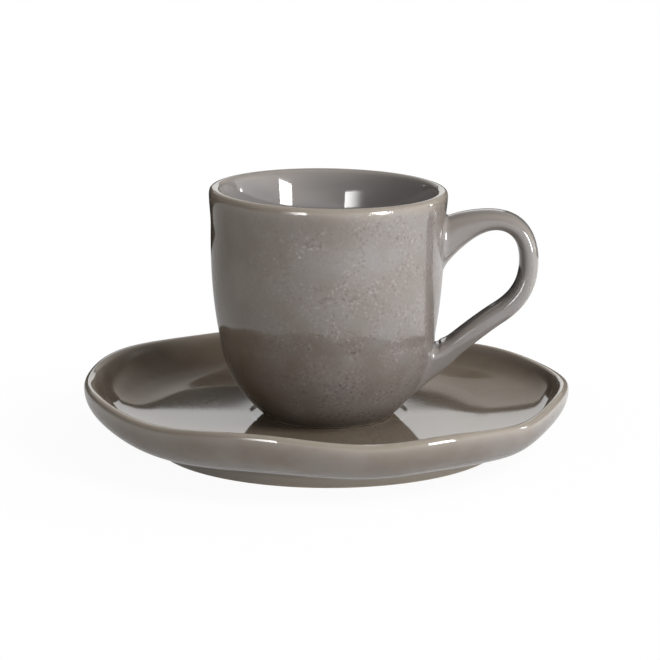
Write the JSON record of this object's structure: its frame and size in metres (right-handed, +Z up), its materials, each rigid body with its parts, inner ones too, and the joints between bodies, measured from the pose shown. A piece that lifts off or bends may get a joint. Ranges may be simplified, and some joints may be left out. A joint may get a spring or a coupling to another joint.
{
  "type": "coffee cup with saucer",
  "caption": "Small glazed stoneware coffee cup with a strap handle, standing in the well of a saucer with an uneven rolled rim; the cup lifts off.",
  "frame": {"origin": "on the table plane, under the middle of the whole's bounding box", "axes": "+Z up, +X the way the handle points, -Y towards the viewer"},
  "size_m": [0.1336, 0.135, 0.0716],
  "materials": {
    "cup_glaze": "glossy mottled warm grey glaze, paler where it thins at the lip",
    "handle_glaze": "glossy warm grey glaze, the cup's own",
    "saucer_glaze": "glossy warm grey-brown glaze, tan where it thins at the rim"
  },
  "bodies": {
    "saucer": {"saucer": "saucer_glaze"},
    "cup": {"cup_body": "cup_glaze", "cup_handle": "handle_glaze"}
  },
  "joints": [
    {"name": "cup_lift", "type": "slide", "parent": "saucer", "child": "cup", "axis": [0, 0, 1], "range_m": [0, 0.1]}
  ]
}
